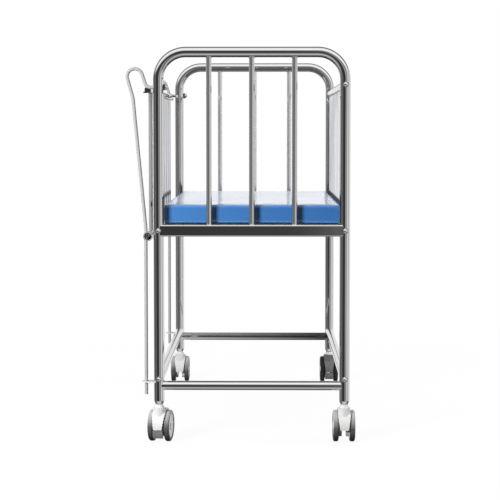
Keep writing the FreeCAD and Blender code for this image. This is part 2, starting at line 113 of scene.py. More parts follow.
# %% Floor
FLOOR_SIZE = 160.0
FLOOR_WHITE = 0.94         # share of plain white that the camera sees near the casters
FLOOR_FADE = (0.7, 1.8)    # distances in metres between which that share grows to all of it

deselect()
bpy.ops.mesh.primitive_plane_add(size=FLOOR_SIZE, location=(0, 0, 0))
floor = bpy.context.object
floor.name = "studio_floor"

floor_paint = bpy.data.materials.new("floor_paint")
floor_paint.use_nodes = True
tree = floor_paint.node_tree
paint = tree.nodes["Principled BSDF"]
paint.inputs["Base Color"].default_value = (0.82, 0.82, 0.82, 1)
paint.inputs["Roughness"].default_value = 0.7
glow = tree.nodes.new("ShaderNodeEmission")
glow.inputs["Color"].default_value = (1, 1, 1, 1)
path = tree.nodes.new("ShaderNodeLightPath")
spot = tree.nodes.new("ShaderNodeTexCoord")
reach = tree.nodes.new("ShaderNodeVectorMath")
reach.operation = "LENGTH"
tree.links.new(spot.outputs["Object"], reach.inputs[0])
fade = tree.nodes.new("ShaderNodeMapRange")
fade.interpolation_type = "SMOOTHSTEP"
fade.inputs["From Min"].default_value, fade.inputs["From Max"].default_value = FLOOR_FADE
fade.inputs["To Min"].default_value = FLOOR_WHITE
tree.links.new(reach.outputs["Value"], fade.inputs["Value"])
share = tree.nodes.new("ShaderNodeMath")
share.operation = "MULTIPLY"
mix = tree.nodes.new("ShaderNodeMixShader")
tree.links.new(path.outputs["Is Camera Ray"], share.inputs[0])
tree.links.new(fade.outputs[0], share.inputs[1])
tree.links.new(share.outputs[0], mix.inputs["Fac"])
tree.links.new(paint.outputs[0], mix.inputs[1])
tree.links.new(glow.outputs[0], mix.inputs[2])
tree.links.new(mix.outputs[0], tree.nodes["Material Output"].inputs["Surface"])
floor.data.materials.append(floor_paint)
floor.visible_glossy = False
floor.visible_diffuse = False
print("floor", FLOOR_SIZE, "m square")

# %% [markdown]
# Polished tube has almost no colour of its own: what one sees is the room. A studio for such metal
# is white behind and beside the object, has a bright sheet overhead, and is kept dark round the
# camera, which draws the crisp dark line down the middle of every tube. The world below is that
# room for reflections only. Plain surfaces are lit by a sky that is bright overhead and behind, and
# dim low down and in front. Together with the lamps it comes to a level at which a colour looks
# about as it was chosen.

# %% The room
ROOM_LEVEL = 1.0           # light from overhead on plain surfaces
PLAIN = ((0.00, 0.05), (0.50, 0.06), (0.66, 0.20), (0.76, 1.05), (1.00, 1.05))
AROUND = (                 # turn from behind by way of the left, the camera and the right: 0 to 1
    (0.00, 0.84), (0.05, 0.88), (0.11, 0.55), (0.16, 0.38), (0.21, 0.09), (0.25, 0.04),
    (0.295, 0.14), (0.33, 0.20), (0.36, 0.07), (0.42, 0.035), (0.48, 0.035), (0.505, 0.06),
    (0.52, 0.34), (0.55, 0.44), (0.58, 0.24), (0.61, 0.34), (0.65, 0.90), (0.70, 0.60),
    (0.735, 0.36), (0.78, 0.86), (0.84, 1.05), (0.90, 0.50), (0.95, 0.85), (1.00, 0.84))
OVER = (                   # from the camera's horizon over the top to the far horizon: 0 to 1
    (0.00, 0.05), (0.07, 0.06), (0.115, 0.14), (0.16, 0.42), (0.20, 0.80), (0.25, 1.10),
    (0.35, 1.20), (0.43, 1.00), (0.50, 0.90), (0.56, 0.55), (0.61, 0.10), (0.72, 0.04),
    (0.79, 0.20), (0.88, 0.80), (1.00, 0.84))
UNDER = (                  # the same way, but under the object
    (0.00, 0.045), (0.06, 0.05), (0.12, 0.10), (0.17, 0.18), (0.22, 0.34), (0.28, 0.66),
    (0.34, 0.62), (0.40, 0.28), (0.46, 0.18), (0.54, 0.22), (0.62, 0.08), (0.72, 0.08),
    (0.82, 0.40), (1.00, 0.80))

BELOW, ABOVE = (-0.42, -0.12), (0.12, 0.42)    # heights in which the level ring takes and gives over
TILT_UP, TILT_BACK = 0.77, 0.64                # how far the plain light's axis leans to the rear

world = bpy.data.worlds.new("studio_room")
bpy.context.scene.world = world
world.use_nodes = True
tree = world.node_tree
tree.nodes.clear()


def node(kind, **settings):
    made = tree.nodes.new(kind)
    for name, value in settings.items():
        setattr(made, name, value)
    return made


def math_node(operation, a, b=None, clamp=False):
    made = node("ShaderNodeMath", operation=operation, use_clamp=clamp)
    for socket, value in zip(made.inputs, (a, b)):
        if value is None:
            continue
        if isinstance(value, (int, float)):
            socket.default_value = value
        else:
            tree.links.new(value, socket)
    return made.outputs[0]


def grey_ramp(stops, factor):
    """A ramp of greys. Its two first elements take the outer stops, and the others come between."""
    made = node("ShaderNodeValToRGB")
    elements = made.color_ramp.elements
    elements[0].position = stops[0][0]
    elements[1].position = stops[-1][0]
    for place, _ in stops[1:-1]:
        elements.new(place)
    for element, (_, value) in zip(elements, stops):
        element.color = (value, value, value, 1)
    tree.links.new(factor, made.inputs["Fac"])
    return made.outputs["Color"]


looking = node("ShaderNodeTexCoord").outputs["Generated"]
parts = node("ShaderNodeSeparateXYZ")
tree.links.new(looking, parts.inputs[0])
toward = math_node("MULTIPLY", parts.outputs["Y"], -1.0)
turn = math_node("ARCTAN2", parts.outputs["X"], toward)
turn = math_node("ADD", math_node("DIVIDE", turn, 2 * math.pi), 0.5)
rise = math_node("ARCTAN2", math_node("ABSOLUTE", parts.outputs["Z"]), toward)
rise = math_node("DIVIDE", rise, math.pi)
around = grey_ramp(AROUND, turn)


def take_over(first, second, start, end):
    """second takes over from first as the direction's height passes from start to end."""
    share = node("ShaderNodeMapRange", interpolation_type="SMOOTHSTEP")
    tree.links.new(parts.outputs["Z"], share.inputs["Value"])
    share.inputs["From Min"].default_value = start
    share.inputs["From Max"].default_value = end
    mixed = node("ShaderNodeMix", data_type="RGBA")
    tree.links.new(share.outputs[0], mixed.inputs["Factor"])
    tree.links.new(first, mixed.inputs["A"])
    tree.links.new(second, mixed.inputs["B"])
    return mixed.outputs["Result"]


level = take_over(grey_ramp(UNDER, rise), around, *BELOW)
all_round = take_over(level, grey_ramp(OVER, rise), *ABOVE)
reflected = node("ShaderNodeBackground")
tree.links.new(all_round, reflected.inputs["Color"])
even = node("ShaderNodeBackground")
tilted = math_node("ADD", math_node("MULTIPLY", parts.outputs["Z"], TILT_UP),
                   math_node("MULTIPLY", parts.outputs["Y"], TILT_BACK))
height = math_node("ADD", math_node("MULTIPLY", tilted, 0.5), 0.5)
tree.links.new(grey_ramp(PLAIN, height), even.inputs["Color"])
even.inputs["Strength"].default_value = ROOM_LEVEL
white = node("ShaderNodeBackground")
white.inputs["Color"].default_value = (1, 1, 1, 1)
rays = node("ShaderNodeLightPath")
for_metal = node("ShaderNodeMixShader")
tree.links.new(rays.outputs["Is Glossy Ray"], for_metal.inputs["Fac"])
tree.links.new(even.outputs[0], for_metal.inputs[1])
tree.links.new(reflected.outputs[0], for_metal.inputs[2])
for_camera = node("ShaderNodeMixShader")
plain = math_node("MAXIMUM", rays.outputs["Is Camera Ray"], rays.outputs["Is Transmission Ray"])
tree.links.new(plain, for_camera.inputs["Fac"])
tree.links.new(for_metal.outputs[0], for_camera.inputs[1])
tree.links.new(white.outputs[0], for_camera.inputs[2])
tree.links.new(for_camera.outputs[0], node("ShaderNodeOutputWorld").inputs["Surface"])
print("room made, overhead level", ROOM_LEVEL)

# %% [markdown]
# One lamp stands in front and to the left. It gives the mattress and the casters a light side and a
# shaded side. It is less than a metre wide, so every bar lays a dark shadow with soft edges on the
# mattress just behind it. It is kept out of reflections, because the room above already draws those.
# A weaker and larger one stands square to the right side, where it lifts the wheel discs without
# reaching into the shadows on the front.


# %% Two lamps
def studio_lamp(name, place, aim_height, size, watts):
    """A rectangular lamp that faces the middle of the cot at a height, unseen in reflections."""
    bpy.ops.object.light_add(type="AREA", location=place)
    lamp = bpy.context.object
    lamp.name = name
    lamp.data.shape = "RECTANGLE"
    lamp.data.size, lamp.data.size_y = size
    lamp.data.energy = watts
    lamp.visible_glossy = False
    aim = Vector((0, 0, aim_height)) - lamp.location
    lamp.rotation_euler = aim.to_track_quat("-Z", "Y").to_euler()
    return lamp


lamps = [studio_lamp("soft_lamp", place=(-1.9, -2.9, 1.35), aim_height=0.45,
                     size=(0.9, 0.9), watts=180),
         studio_lamp("side_fill", place=(3.2, -0.35, 0.8), aim_height=0.4,
                     size=(1.2, 1.6), watts=80)]
print("lamps:", [(lamp.name, lamp.data.energy) for lamp in lamps])

# %% [markdown]
# Several finishes share the same small effects, so each effect is a node group with its own inputs:
# soft marks left by hands and cloths, a fine moulded or embossed grain, and dust that gathers low
# down. A group gives out only masks and heights. The shader itself stays in each material.


# %% Shared effects
def start_group(name, inputs, outputs):
    """An empty shader group with float sockets, and the tree that node() then fills."""
    made = bpy.data.node_groups.new(name, "ShaderNodeTree")
    for label, value in inputs:
        socket = made.interface.new_socket(label, in_out="INPUT", socket_type="NodeSocketFloat")
        socket.default_value = value
    for label in outputs:
        made.interface.new_socket(label, in_out="OUTPUT", socket_type="NodeSocketFloat")
    return made


def map_range(value, low, high, to_low, to_high):
    """Linear map of a socket. Each bound is a number or a socket."""
    made = node("ShaderNodeMapRange")
    tree.links.new(value, made.inputs["Value"])
    for label, bound in (("From Min", low), ("From Max", high), ("To Min", to_low),
                         ("To Max", to_high)):
        if isinstance(bound, (int, float)):
            made.inputs[label].default_value = bound
        else:
            tree.links.new(bound, made.inputs[label])
    return made.outputs[0]


def noise(vector, scale, detail=2.0, rough=0.5):
    made = node("ShaderNodeTexNoise")
    made.inputs["Detail"].default_value = detail
    made.inputs["Roughness"].default_value = rough
    tree.links.new(vector, made.inputs["Vector"])
    if isinstance(scale, (int, float)):
        made.inputs["Scale"].default_value = scale
    else:
        tree.links.new(scale, made.inputs["Scale"])
    return made.outputs["Fac"]


def object_place():
    return node("ShaderNodeTexCoord").outputs["Object"]


# Hand marks: roughness between Smooth and Dull in soft patches, and a faint wave for the bump.
hand_marks = start_group("hand_marks", (("Patches", 24.0), ("Smooth", 0.08), ("Dull", 0.2)),
                         ("Roughness", "Wave"))
tree = hand_marks
given = node("NodeGroupInput")
result = node("NodeGroupOutput")
here = object_place()
patches = noise(here, given.outputs["Patches"], 5.0, 0.6)
tree.links.new(map_range(patches, 0.38, 0.66, given.outputs["Smooth"], given.outputs["Dull"]),
               result.inputs["Roughness"])
tree.links.new(noise(here, 9.0, 2.0), result.inputs["Wave"])

# Fine grain: a pebbled height made of two sizes of noise.
fine_grain = start_group("fine_grain", (("Size", 900.0), ("Softness", 0.5)), ("Height",))
tree = fine_grain
given = node("NodeGroupInput")
result = node("NodeGroupOutput")
here = object_place()
pebbles = node("ShaderNodeTexVoronoi")
tree.links.new(here, pebbles.inputs["Vector"])
tree.links.new(given.outputs["Size"], pebbles.inputs["Scale"])
fine = noise(here, given.outputs["Size"], 3.0)
summed = math_node("ADD", math_node("MULTIPLY", pebbles.outputs["Distance"],
                                    given.outputs["Softness"]), fine)
tree.links.new(summed, result.inputs["Height"])

# Low dust: a mask that is full at the floor, gone by Reach, and broken up by noise.
low_dust = start_group("low_dust", (("Reach", 0.1), ("Amount", 0.5)), ("Mask",))
tree = low_dust
given = node("NodeGroupInput")
result = node("NodeGroupOutput")
here = object_place()
parts = node("ShaderNodeSeparateXYZ")
tree.links.new(here, parts.inputs[0])
height = math_node("DIVIDE", parts.outputs["Z"], given.outputs["Reach"])
falling = math_node("SUBTRACT", 1.0, height, clamp=True)
broken = map_range(noise(here, 70.0, 6.0, 0.65), 0.35, 0.7, 0.0, 1.0)
tree.links.new(math_node("MULTIPLY", math_node("MULTIPLY", falling, broken),
                         given.outputs["Amount"]), result.inputs["Mask"])
print("effect groups:", [g.name for g in bpy.data.node_groups])

# %% [markdown]
# A finish is then a short function: it starts a material, sets what is the same all over on the
# shader's own sockets, and plugs the shared effects into roughness, colour and bump.


# %% Helpers for finishes
def start_finish(name, color, roughness, metallic=0.0):
    """A new material with a Principled shader, made the tree that node() fills."""
    made = bpy.data.materials.new(name)
    made.use_nodes = True
    shader = made.node_tree.nodes["Principled BSDF"]
    shader.inputs["Base Color"].default_value = (*color, 1)
    shader.inputs["Roughness"].default_value = roughness
    shader.inputs["Metallic"].default_value = metallic
    return made, made.node_tree, shader


def effect(group, **values):
    made = node("ShaderNodeGroup")
    made.node_tree = group
    for label, value in values.items():
        made.inputs[label].default_value = value
    return made


def bump(shader, height, strength, distance):
    made = node("ShaderNodeBump")
    made.inputs["Strength"].default_value = strength
    made.inputs["Distance"].default_value = distance
    tree.links.new(height, made.inputs["Height"])
    tree.links.new(made.outputs[0], shader.inputs["Normal"])
    return made


def color_mix(factor, first, second, mode="MIX"):
    """Colour mix; first and second are colours or sockets."""
    made = node("ShaderNodeMix", data_type="RGBA", blend_type=mode)
    if isinstance(factor, (int, float)):
        made.inputs["Factor"].default_value = factor
    else:
        tree.links.new(factor, made.inputs["Factor"])
    for label, value in (("A", first), ("B", second)):
        if isinstance(value, tuple):
            made.inputs[label].default_value = (*value, 1)
        else:
            tree.links.new(value, made.inputs[label])
    return made.outputs["Result"]


print("finish helpers ready")

# %% [markdown]
# Stainless tube is drawn, polished along its length and then wiped every day. Its metal is a light
# neutral grey. Very fine waves left by bending and polishing make the reflected lines tremble, and
# cloths leave patches that are a touch duller. The thin bars of the two long sides and the guide
# rods come from the mill with a paler satin surface that scatters light. The bars of the long sides
# carry a painted shadow on their inner side, at the height of the mattress's upper edge. The bars of
# the ends are brushed, those at the head paler than those at the foot. Bolts, nuts and axles are
# bright plated steel, a little whiter and smoother.


# %% Metals
def metal(name, color, smooth, dull, wave_strength, patches=24.0):
    global tree
    made, tree, shader = start_finish(name, color, smooth, 1.0)
    marks = effect(hand_marks, Patches=patches, Smooth=smooth, Dull=dull)
    tree.links.new(marks.outputs["Roughness"], shader.inputs["Roughness"])
    tint = color_mix(marks.outputs["Wave"], color, tuple(c * 0.93 for c in color))
    tree.links.new(tint, shader.inputs["Base Color"])
    bump(shader, marks.outputs["Wave"], wave_strength, 0.004)
    return made


polished_stainless = metal("polished_stainless", (0.80, 0.80, 0.80), 0.02, 0.07, 0.06)
plated_steel = metal("bright_plated_steel", (0.84, 0.84, 0.83), 0.04, 0.12, 0.10, 60.0)


def brushed_metal(name, grey, metallic, smooth, dull, wave_strength):
    """A metal that scatters a little of the light as well."""
    made = metal(name, (grey, grey, grey), smooth, dull, wave_strength)
    made.node_tree.nodes["Principled BSDF"].inputs["Metallic"].default_value = metallic
    return made


brushed_bar = brushed_metal("brushed_bar", 0.80, 0.93, 0.04, 0.09, 0.04)
pale_bar = brushed_metal("pale_bar", 0.84, 0.72, 0.06, 0.12, 0.04)
far_hoop = brushed_metal("far_hoop", 0.80, 0.93, 0.03, 0.07, 0.05)
print("polished and brushed metals made")

# %% [markdown]
# A satin bar needs two things that a plain metal lacks. Layer Weight darkens its outline, a painted
# shade that lets it read as round although it scatters light. The painted shadow beside the
# mattress is a band at the height of the mattress's upper edge, on the half of the bar that faces
# the mattress, so it is found from the boxes of the mattress and of the two rows of bars. The drop
# side's bars are a darker copy, and its first bar is darker still, both painted shade.

# %% Satin metals
SHADE_BAND_REACH = (-0.012, 0.006)              # the painted shadow's lower and upper end, from the mattress's top
SHADE_BAND_SOFT = 0.006                         # how far its ends fade
SHADE_BAND_DARK = 0.06                          # how bright the painted shadow is beside the unshaded metal
FIRST_BAR_SHADE_SPAN = (-0.34, -0.30)               # lengthwise, from the drop side's first bar to past it, where that bar is painted darker as painted shade

mattress_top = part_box("mattress")[1].z
shade_band_low, shade_band_high = (mattress_top + reach for reach in SHADE_BAND_REACH)
gate_line, guard_line = (sum(corner.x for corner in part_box(bars)) / 2
                         for bars in ("gate_bars", "guard_bars"))
bars_middle = (gate_line + guard_line) / 2
inner_half = (guard_line - gate_line) / 2


def painted_shade_share(first_bar_shade):
    """Painted shade: low in the shadow band, 1 elsewhere, and less on the bar nearest the foot."""
    parts = node("ShaderNodeSeparateXYZ")
    tree.links.new(object_place(), parts.inputs[0])
    # Painted shadow: darker colour in a band at the mattress's upper edge, on the bars' inner half.
    above = map_range(parts.outputs["Z"], shade_band_high - SHADE_BAND_SOFT, shade_band_high, SHADE_BAND_DARK, 1.0)
    below = map_range(parts.outputs["Z"], shade_band_low, shade_band_low + SHADE_BAND_SOFT, 1.0, SHADE_BAND_DARK)
    out = math_node("ABSOLUTE", math_node("SUBTRACT", parts.outputs["X"], bars_middle))
    outer = map_range(out, inner_half - 0.001, inner_half + 0.001, SHADE_BAND_DARK, 1.0)
    unshaded = math_node("MAXIMUM", outer, math_node("MAXIMUM", above, below))
    return math_node("MULTIPLY", unshaded, map_range(parts.outputs["Y"], *FIRST_BAR_SHADE_SPAN, first_bar_shade, 1.0))


def satin_metal(name, grey, edge, edge_from=0.55, specular=0.25, first_bar_shade=None):
    """Satin steel with painted shade: edge times as bright at its outline, and darker on side bars.
    """
    made = metal(name, (grey, grey, grey), 0.42, 0.50, 0.0, 40.0)
    shader = made.node_tree.nodes["Principled BSDF"]
    shader.inputs["Metallic"].default_value = 0.06
    shader.inputs["Specular IOR Level"].default_value = specular
    # Painted shade: the colour darkens towards the outline, where the surface turns away from the
    # eye.
    share = map_range(node("ShaderNodeLayerWeight").outputs["Facing"], edge_from, 0.95, 1.0, edge)
    if first_bar_shade:
        share = math_node("MULTIPLY", share, painted_shade_share(first_bar_shade))
    tint = color_mix(share, (0.02, 0.02, 0.02), (grey, grey, grey))
    tree.links.new(tint, shader.inputs["Base Color"])
    return made


satin_stainless = satin_metal("satin_stainless", 0.62, 0.6)
guard_satin = satin_metal("guard_satin", 0.62, 0.6, first_bar_shade=1.0)
# Painted shade: the drop side's bars are darker than the guard side's, and their first bar darker
# still.
gate_satin = satin_metal("gate_satin", 0.50, 0.6, first_bar_shade=0.45)
satin_rod = satin_metal("satin_rod", 0.38, 0.05, 0.40, 0.05)
print("satin metals made, the mark from", round(shade_band_low, 3), "to", round(shade_band_high, 3))

# %% [markdown]
# The low tube at the head is painted dark towards one end, a painted reflection of the dark room
# that it faces. The deck sheet is rolled, which leaves very long fine lines, so its roughness comes
# from noise that is stretched along the cot.

# %% Darkened tube and rolled sheet
DARK_REFLECTION_SPAN = (-0.15, 0.22)                  # crosswise, where the low tube at the head is painted dark

shaded_tube = metal("shaded_tube", (0.5, 0.5, 0.5), 0.03, 0.08, 0.05)
parts = node("ShaderNodeSeparateXYZ")
tree.links.new(object_place(), parts.inputs[0])
# Painted reflection: the tube's colour darkens towards one end.
share = map_range(parts.outputs["X"], *DARK_REFLECTION_SPAN, 0.0, 1.0)
tree.links.new(color_mix(share, (0.95, 0.95, 0.95), (0.16, 0.16, 0.16)),
               shaded_tube.node_tree.nodes["Principled BSDF"].inputs["Base Color"])

deck_sheet, tree, shader = start_finish("satin_sheet_steel", (0.70, 0.70, 0.70), 0.32, 1.0)
here = object_place()
stretched = node("ShaderNodeMapping")
stretched.inputs["Scale"].default_value = (900.0, 6.0, 900.0)
tree.links.new(here, stretched.inputs["Vector"])
lines = noise(stretched.outputs[0], 1.0, 3.0)
tree.links.new(map_range(lines, 0.3, 0.7, 0.24, 0.42), shader.inputs["Roughness"])
bump(shader, lines, 0.12, 0.0004)
print("tube and sheet made")

# %% [markdown]
# The casters are moulded. Their hoods are white nylon with a faint spark-eroded grain, the outer
# discs and the hubs are two greys, and one hood is dark grey, with black tyres. The other tyres are
# a soft grey rubber, painted pale on top and dark where they meet the floor, as painted light and
# shade. All of them pick up a little dust.


# %% Plastics and rubber
def moulded(name, color, roughness, grain_size, grain_strength, dust=0.35, dusty=(0.45, 0.44, 0.42)):
    global tree
    made, tree, shader = start_finish(name, color, roughness)
    grain = effect(fine_grain, Size=grain_size, Softness=0.5)
    bump(shader, grain.outputs["Height"], grain_strength, 0.0003)
    mask = effect(low_dust, Reach=0.09, Amount=dust).outputs["Mask"]
    tree.links.new(color_mix(mask, color, dusty), shader.inputs["Base Color"])
    dull = map_range(mask, 0.0, 0.5, roughness, min(0.9, roughness + 0.3))
    tree.links.new(dull, shader.inputs["Roughness"])
    return made


white_nylon = moulded("white_nylon", (0.58, 0.58, 0.575), 0.34, 1400.0, 0.10, 0.12)
light_grey_nylon = moulded("light_grey_nylon", (0.80, 0.80, 0.81), 0.36, 1400.0, 0.12, 0.2)
mid_grey_nylon = moulded("mid_grey_nylon", (0.13, 0.13, 0.135), 0.40, 1400.0, 0.15, 0.25)
grey_hood_nylon = moulded("grey_hood_nylon", (0.125, 0.125, 0.13), 0.38, 1400.0, 0.12, 0.12)
black_rubber = moulded("black_rubber", (0.018, 0.018, 0.019), 0.5, 2200.0, 0.2, 0.1,
                       (0.08, 0.08, 0.08))
grey_rubber, tree, shader = start_finish("grey_rubber", (0.16, 0.16, 0.16), 0.42)
parts = node("ShaderNodeSeparateXYZ")
tree.links.new(object_place(), parts.inputs[0])
# Painted light and shade: the tyres run from dark at the floor to pale on top.
painted_light_ramp = node("ShaderNodeValToRGB")
painted_light_ramp.color_ramp.elements[0].position, painted_light_ramp.color_ramp.elements[1].position = 0.06, 1.0
for element, value in zip(painted_light_ramp.color_ramp.elements, (0.010, 0.42)):
    element.color = (value, value, value, 1)
middle = painted_light_ramp.color_ramp.elements.new(0.5)
middle.color = (0.075, 0.075, 0.077, 1)
rise = math_node("ADD", map_range(parts.outputs["Z"], 0.0, 0.075, 0.0, 1.0),
                 map_range(noise(object_place(), 60.0, 4.0), 0.3, 0.7, -0.05, 0.05))
tree.links.new(rise, painted_light_ramp.inputs["Fac"])
tree.links.new(painted_light_ramp.outputs["Color"], shader.inputs["Base Color"])
grain = effect(fine_grain, Size=2200.0, Softness=0.5)
bump(shader, grain.outputs["Height"], 0.2, 0.0003)
print("plastics made")

# %% [markdown]
# The cover of the mattress is blue vinyl-coated cloth, the wipe-clean kind. Its coat is glossy
# enough to mirror the room when one looks along it, it carries a very fine embossed grain, and the
# foam under it shows as slow, shallow waves. Its blue is painted lighter on the lamp's side and
# darker on the other, as painted light and shade. In reflections the cover shows as a plain dark
# shape, which keeps the lines on the polished tubes neutral. The Light Path node tells such rays
# apart, and it stays in the material itself.

# %% Vinyl cover
blue_vinyl, tree, shader = start_finish("blue_vinyl", (0.055, 0.21, 0.52), 0.40)
here = object_place()
grain = effect(fine_grain, Size=1100.0, Softness=0.7)
soft_wave = noise(here, 7.0, 1.0)
height = math_node("ADD", math_node("MULTIPLY", grain.outputs["Height"], 0.02), soft_wave)
bump(shader, height, 0.06, 0.002)
parts = node("ShaderNodeSeparateXYZ")
tree.links.new(here, parts.inputs[0])
# Painted light and shade: the blue is lighter on the lamp's side and darker on the far side.
painted_light_side = map_range(parts.outputs["X"], -0.20, 0.22, 0.0, 1.0)
tree.links.new(color_mix(painted_light_side, (0.045, 0.168, 0.420), (0.028, 0.120, 0.335)),
               shader.inputs["Base Color"])
marks = effect(hand_marks, Patches=16.0, Smooth=0.36, Dull=0.46)
tree.links.new(marks.outputs["Roughness"], shader.inputs["Roughness"])
shader.inputs["Coat Weight"].default_value = 1.0
shader.inputs["Coat Roughness"].default_value = 0.13
shader.inputs["Sheen Weight"].default_value = 0.15
shader.inputs["Sheen Roughness"].default_value = 0.35
shader.inputs["Specular IOR Level"].default_value = 0.6
shadow_blue = node("ShaderNodeBsdfDiffuse")
shadow_blue.inputs["Color"].default_value = (0.03, 0.04, 0.055, 1)
in_mirrors = node("ShaderNodeMixShader")
tree.links.new(node("ShaderNodeLightPath").outputs["Is Glossy Ray"], in_mirrors.inputs["Fac"])
tree.links.new(shader.outputs[0], in_mirrors.inputs[1])
tree.links.new(shadow_blue.outputs[0], in_mirrors.inputs[2])
tree.links.new(in_mirrors.outputs[0], tree.nodes["Material Output"].inputs["Surface"])

seam_vinyl, tree, shader = start_finish("seam_vinyl", (0.075, 0.26, 0.58), 0.28)
grain = effect(fine_grain, Size=1500.0, Softness=0.5)
bump(shader, grain.outputs["Height"], 0.15, 0.0003)
marks = effect(hand_marks, Patches=40.0, Smooth=0.2, Dull=0.34)
tree.links.new(marks.outputs["Roughness"], shader.inputs["Roughness"])
print("vinyl made")

# %% [markdown]
# Every node that came with the frame keeps its shape. It gets its finish by the slot that the record
# names for it, so the two never drift apart. A few nodes have a variant of their slot's finish.

# %% Finishes on the frame's own nodes
finish_of_slot = {
    "polished_stainless": polished_stainless,
    "sheet_steel": deck_sheet,
    "plated_steel": plated_steel,
    "blue_vinyl": blue_vinyl,
    "white_plastic": white_nylon,
    "light_grey_plastic": light_grey_nylon,
    "mid_grey_plastic": mid_grey_nylon,
    "grey_tyre": grey_rubber,
}
finish_of_node = {
    "guard_bars": guard_satin,
    "gate_bars": gate_satin,
    "gate_forks": polished_stainless,
    "gate_bottom_rail": pale_bar,
    "rod_tabs": satin_stainless,
    "caster_stems": satin_stainless,
    "end_bars_front": brushed_bar,
    "end_bars_rear": pale_bar,
    "hoop_rear": far_hoop,
    "lower_cross_tube_rear": shaded_tube,
    "guide_rod_front": satin_rod,
    "guide_rod_rear": satin_rod,
    "caster_rear_right_hood": grey_hood_nylon,
    "caster_rear_right_tyre_left": black_rubber,
    "caster_rear_right_tyre_right": black_rubber,
}
for name, piece in nodes.items():
    chosen = finish_of_node.get(name, finish_of_slot[slot_of[name]])
    if not piece.material_slots:
        piece.data.materials.append(chosen)
    for slot in piece.material_slots:
        slot.material = chosen
print("finished nodes:", len(nodes))

# %% [markdown]
# The mattress is a slab of firm foam in a welded vinyl cover. It is cut square, and its cover is a
# touch smaller than the foam wants to be, so the top crowns slightly, the sides stay nearly flat and
# the edges round off. The slab starts from the frame's own solid, a little smaller, and a cloth
# simulation with pressure swells it. The movement is capped, the result is fitted to the solid's own
# box, and the underside stays flat, because it lies on the deck.

# %% Mattress pad
PAD_SHRINK = 0.0022        # how much smaller each side starts
PAD_VOXEL = 0.006
PAD_CAP = 0.0026           # furthest that a point may move
PAD_PRESSURE = 4.0
PAD_MARGIN = 0.0003        # kept free inside the solid's own box
PAD_FLAT = 0.002           # above the start of its underside, what is still laid flat
PAD_FRAMES = 20            # steps of the cloth simulation

pad_low, pad_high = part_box("mattress")
pad_middle = (pad_low + pad_high) / 2
pad = bpy.data.objects.new("mattress_pad", nodes["mattress"].data.copy())
bpy.context.scene.collection.objects.link(pad)
make_active(pad)
bpy.ops.object.mode_set(mode="EDIT")
bpy.ops.mesh.select_all(action="SELECT")
bpy.ops.mesh.remove_doubles(threshold=1e-5)
bpy.ops.object.mode_set(mode="OBJECT")
half = (pad_high - pad_low) / 2
for corner in pad.data.vertices:
    for axis in range(3):
        away = corner.co[axis] - pad_middle[axis]
        corner.co[axis] = pad_middle[axis] + away * (1 - PAD_SHRINK / half[axis])
pad.data.remesh_voxel_size = PAD_VOXEL
bpy.ops.object.voxel_remesh()
start_points = [corner.co.copy() for corner in pad.data.vertices]
bpy.ops.object.modifier_add(type="CLOTH")
cloth = pad.modifiers[-1]
cloth.settings.quality = 5
cloth.settings.use_pressure = True
cloth.settings.uniform_pressure_force = PAD_PRESSURE
cloth.settings.effector_weights.gravity = 0
for frame_number in range(1, PAD_FRAMES + 1):
    bpy.context.scene.frame_set(frame_number)
bpy.ops.object.modifier_apply(modifier=cloth.name)
bpy.context.scene.frame_set(1)
for corner, start in zip(pad.data.vertices, start_points):
    moved = corner.co - start
    if moved.length > 0:
        moved *= PAD_CAP * math.tanh(moved.length / PAD_CAP) / moved.length
    corner.co = start + moved
for axis in range(3):
    reached = [corner.co[axis] for corner in pad.data.vertices]
    least, most = min(reached), max(reached)
    grow = (pad_high[axis] - pad_low[axis] - 2 * PAD_MARGIN) / (most - least)
    for corner in pad.data.vertices:
        corner.co[axis] = pad_low[axis] + PAD_MARGIN + (corner.co[axis] - least) * grow
for corner, start in zip(pad.data.vertices, start_points):
    if start.z < pad_low.z + PAD_SHRINK + PAD_FLAT:
        corner.co.z = pad_low.z + PAD_MARGIN
bpy.ops.object.modifier_add(type="SUBSURF")
pad.modifiers[-1].levels = pad.modifiers[-1].render_levels = 1
bpy.ops.object.modifier_apply(modifier=pad.modifiers[-1].name)
bpy.ops.object.shade_smooth()
pad.data.materials.clear()
pad.data.materials.append(blue_vinyl)
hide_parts("mattress")
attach(pad, "mattress")
print("mattress pad:", len(pad.data.polygons), "faces")

# %% [markdown]
# The cover's panels are joined by high-frequency welding, which leaves a thin raised bead along
# every long edge. The bead is a ring of points laid round the slab, dropped onto the swollen surface
# from outside, and given a small round section, so it follows the slab wherever it bulges.

# %% Welded seams of the cover
SEAM_RADIUS = 0.0011
SEAM_STEP = 0.008
CORNER_RADIUS = 0.007
CORNER_STEPS = 6           # parts that each quarter turn at a corner is made of

surface = BVHTree.FromObject(pad, bpy.context.evaluated_depsgraph_get())


def outline_points(step):
    """Points and outward directions round the slab's outline, seen from above."""
    reach_x, reach_y = half.x - CORNER_RADIUS, half.y - CORNER_RADIUS
    found = []
    for (cx, cy), first in (((reach_x, -reach_y), -90), ((reach_x, reach_y), 0),
                            ((-reach_x, reach_y), 90), ((-reach_x, -reach_y), 180)):
        for part in range(CORNER_STEPS + 1):
            angle = math.radians(first + 90 / CORNER_STEPS * part)
            out = Vector((math.cos(angle), math.sin(angle), 0))
            found.append((Vector((cx, cy, 0)) + out * CORNER_RADIUS, out))
        last_point, last_out = found[-1]
        side = Vector((-last_out.y, last_out.x, 0))
        run = 2 * (reach_y if abs(last_out.x) > 0.5 else reach_x)
        count = max(1, round(run / step))
        for k in range(1, count):
            found.append((last_point + side * (run * k / count), last_out))
    return found


